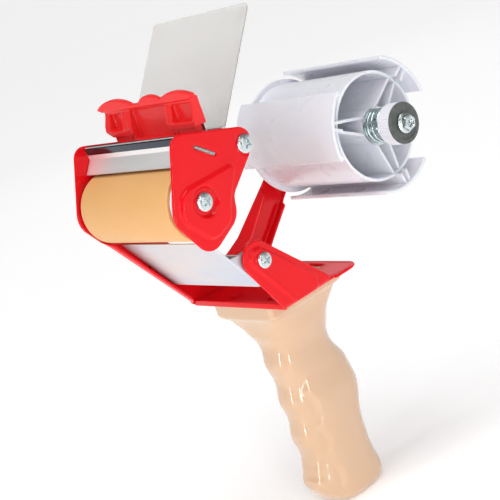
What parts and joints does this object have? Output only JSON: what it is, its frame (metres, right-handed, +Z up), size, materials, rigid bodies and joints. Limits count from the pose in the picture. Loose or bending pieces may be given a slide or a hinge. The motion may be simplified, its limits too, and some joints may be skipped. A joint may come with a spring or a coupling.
{
  "type": "tape dispenser",
  "caption": "Hand-held packing-tape dispenser with a pistol grip, a hub for the tape roll, a rubber roller, a guarded cutter and a wiper sheet.",
  "frame": {"origin": "on the hub's turning axis, at the middle of the tape roll's width", "axes": "+X along the hub and roller axes, towards the open side where the roll slides on; -Y from the hub towards the roller; +Z up, away from the grip"},
  "size_m": [0.1093, 0.1893, 0.2824],
  "materials": {
    "red_paint": "gloss enamel on pressed sheet steel",
    "bright_steel": "bright rolled strip",
    "zinc": "zinc plated, slightly worn",
    "blade_steel": "ground, bright",
    "spring_steel": "zinc plated wire",
    "guard_plastic": "moulded, gloss",
    "roller_rubber": "smooth, satin",
    "white_plastic": "moulded, satin gloss",
    "bush_plastic": "moulded, matte",
    "clear_plastic": "clear film, slightly frosted",
    "dark_washer": "fibre disc",
    "tan_plastic": "moulded, gloss"
  },
  "bodies": {
    "frame": {"side_frame": "red_paint", "base_plate": "red_paint", "near_head_plate": "red_paint", "blade_holder": "bright_steel", "cutter_blade": "blade_steel", "blade_screws": "zinc", "guard_springs": "spring_steel", "roller_axle": "bright_steel", "axle_screws": "zinc", "roller_washers": "zinc", "tie_rod": "bright_steel", "tie_screws": "zinc", "wiper_bracket": "red_paint", "wiper_foot": "clear_plastic", "wiper_rivets": "zinc", "flap_shaft": "zinc", "flap_shaft_screws": "zinc", "flap_spring": "spring_steel", "hub_stud": "zinc", "stud_nut": "zinc", "brake_spring": "spring_steel", "handle": "tan_plastic", "handle_screws": "red_paint", "spring_seat": "zinc"},
    "roller": {"roller_sleeve": "roller_rubber", "roller_core": "white_plastic", "roller_bushes": "bush_plastic"},
    "tape_hub_body": {"tape_hub": "white_plastic", "hub_bushes": "bush_plastic"},
    "guard": {"blade_guard": "guard_plastic"},
    "flap": {"backstop_flap": "bright_steel"},
    "wiper": {"wiper_sheet": "clear_plastic"},
    "brake_stack": {"brake_collar": "white_plastic", "brake_washer": "dark_washer"},
    "nut": {"brake_nut": "zinc"}
  },
  "joints": [
    {"name": "roller_spin", "type": "hinge", "parent": "frame", "child": "roller", "pos_m": [0, -0.132, 0.011], "axis": [1, 0, 0], "continuous": true},
    {"name": "hub_spin", "type": "hinge", "parent": "frame", "child": "tape_hub_body", "pos_m": [0, 0, 0], "axis": [1, 0, 0], "continuous": true},
    {"name": "guard_press", "type": "slide", "parent": "frame", "child": "guard", "axis": [0, 0, -1], "range_m": [0, 0.0055], "stiffness_N_per_m": 400, "springref_m": -0.004, "deforming": ["guard_springs"]},
    {"name": "flap_swing", "type": "hinge", "parent": "frame", "child": "flap", "pos_m": [0, -0.1055, -0.032], "axis": [1, 0, 0], "range_deg": [0, 3.5], "stiffness_Nm_per_rad": 0.1, "springref_deg": -28.65},
    {"name": "wiper_bend", "type": "hinge", "parent": "frame", "child": "wiper", "pos_m": [0, -0.102, 0.0385], "axis": [1, 0, 0], "range_deg": [-12, 12], "stiffness_Nm_per_rad": 0.05},
    {"name": "brake_travel", "type": "slide", "parent": "frame", "child": "brake_stack", "axis": [-1, 0, 0], "range_m": [0, 0.003], "deforming": ["brake_spring"]},
    {"name": "brake_turn", "type": "hinge", "parent": "brake_stack", "child": "nut", "pos_m": [0.0585, 0, 0], "axis": [-1, 0, 0], "range_deg": [0, 1351]}
  ],
  "couplings": [
    {"joint": "brake_turn", "follows": "brake_travel", "rad_per_m": 7854}
  ]
}
